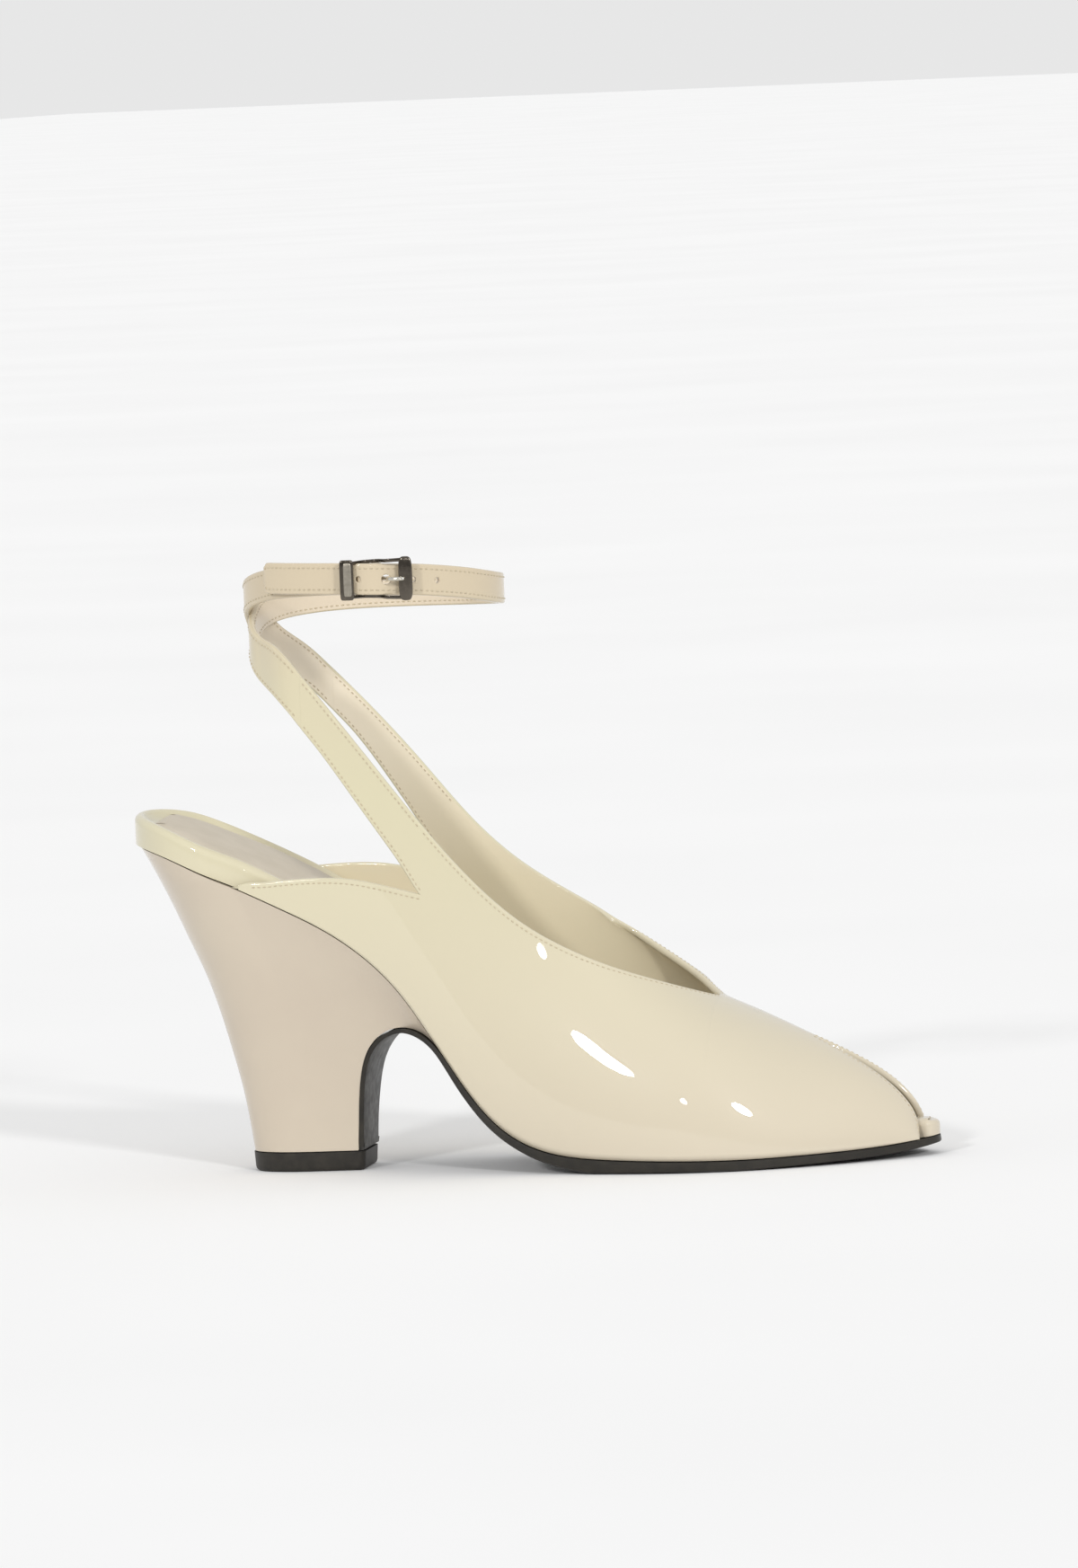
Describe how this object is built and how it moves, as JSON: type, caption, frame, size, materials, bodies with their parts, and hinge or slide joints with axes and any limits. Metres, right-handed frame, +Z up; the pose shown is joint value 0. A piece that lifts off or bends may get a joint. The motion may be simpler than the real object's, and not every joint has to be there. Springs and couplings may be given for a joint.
{
  "type": "slingback pump",
  "caption": "Right-foot patent leather pump with a high covered heel, slit toe, low-cut sides and slings that cross behind the ankle into a buckled strap.",
  "frame": {"origin": "middle of the heel's flat face on the floor", "axes": "+X toward the toe, +Y toward the inner side of the foot, +Z up; the floor is Z = 0"},
  "size_m": [0.2212, 0.0739, 0.1699],
  "materials": {
    "patent_cream": "gloss",
    "heel_cream": "gloss",
    "lining_tan": "satin",
    "sole_black": "satin",
    "heel_tip_black": "matte",
    "buckle_metal": "polished"
  },
  "bodies": {
    "root": {"top_piece": "heel_tip_black", "heel": "heel_cream", "outsole": "sole_black", "insole": "heel_cream", "sock_lining": "lining_tan", "upper": "patent_cream", "ankle_strap": "patent_cream", "buckle_strap": "patent_cream", "buckle_frame": "buckle_metal", "buckle_bar": "buckle_metal", "buckle_prong": "buckle_metal"}
  },
  "joints": []
}
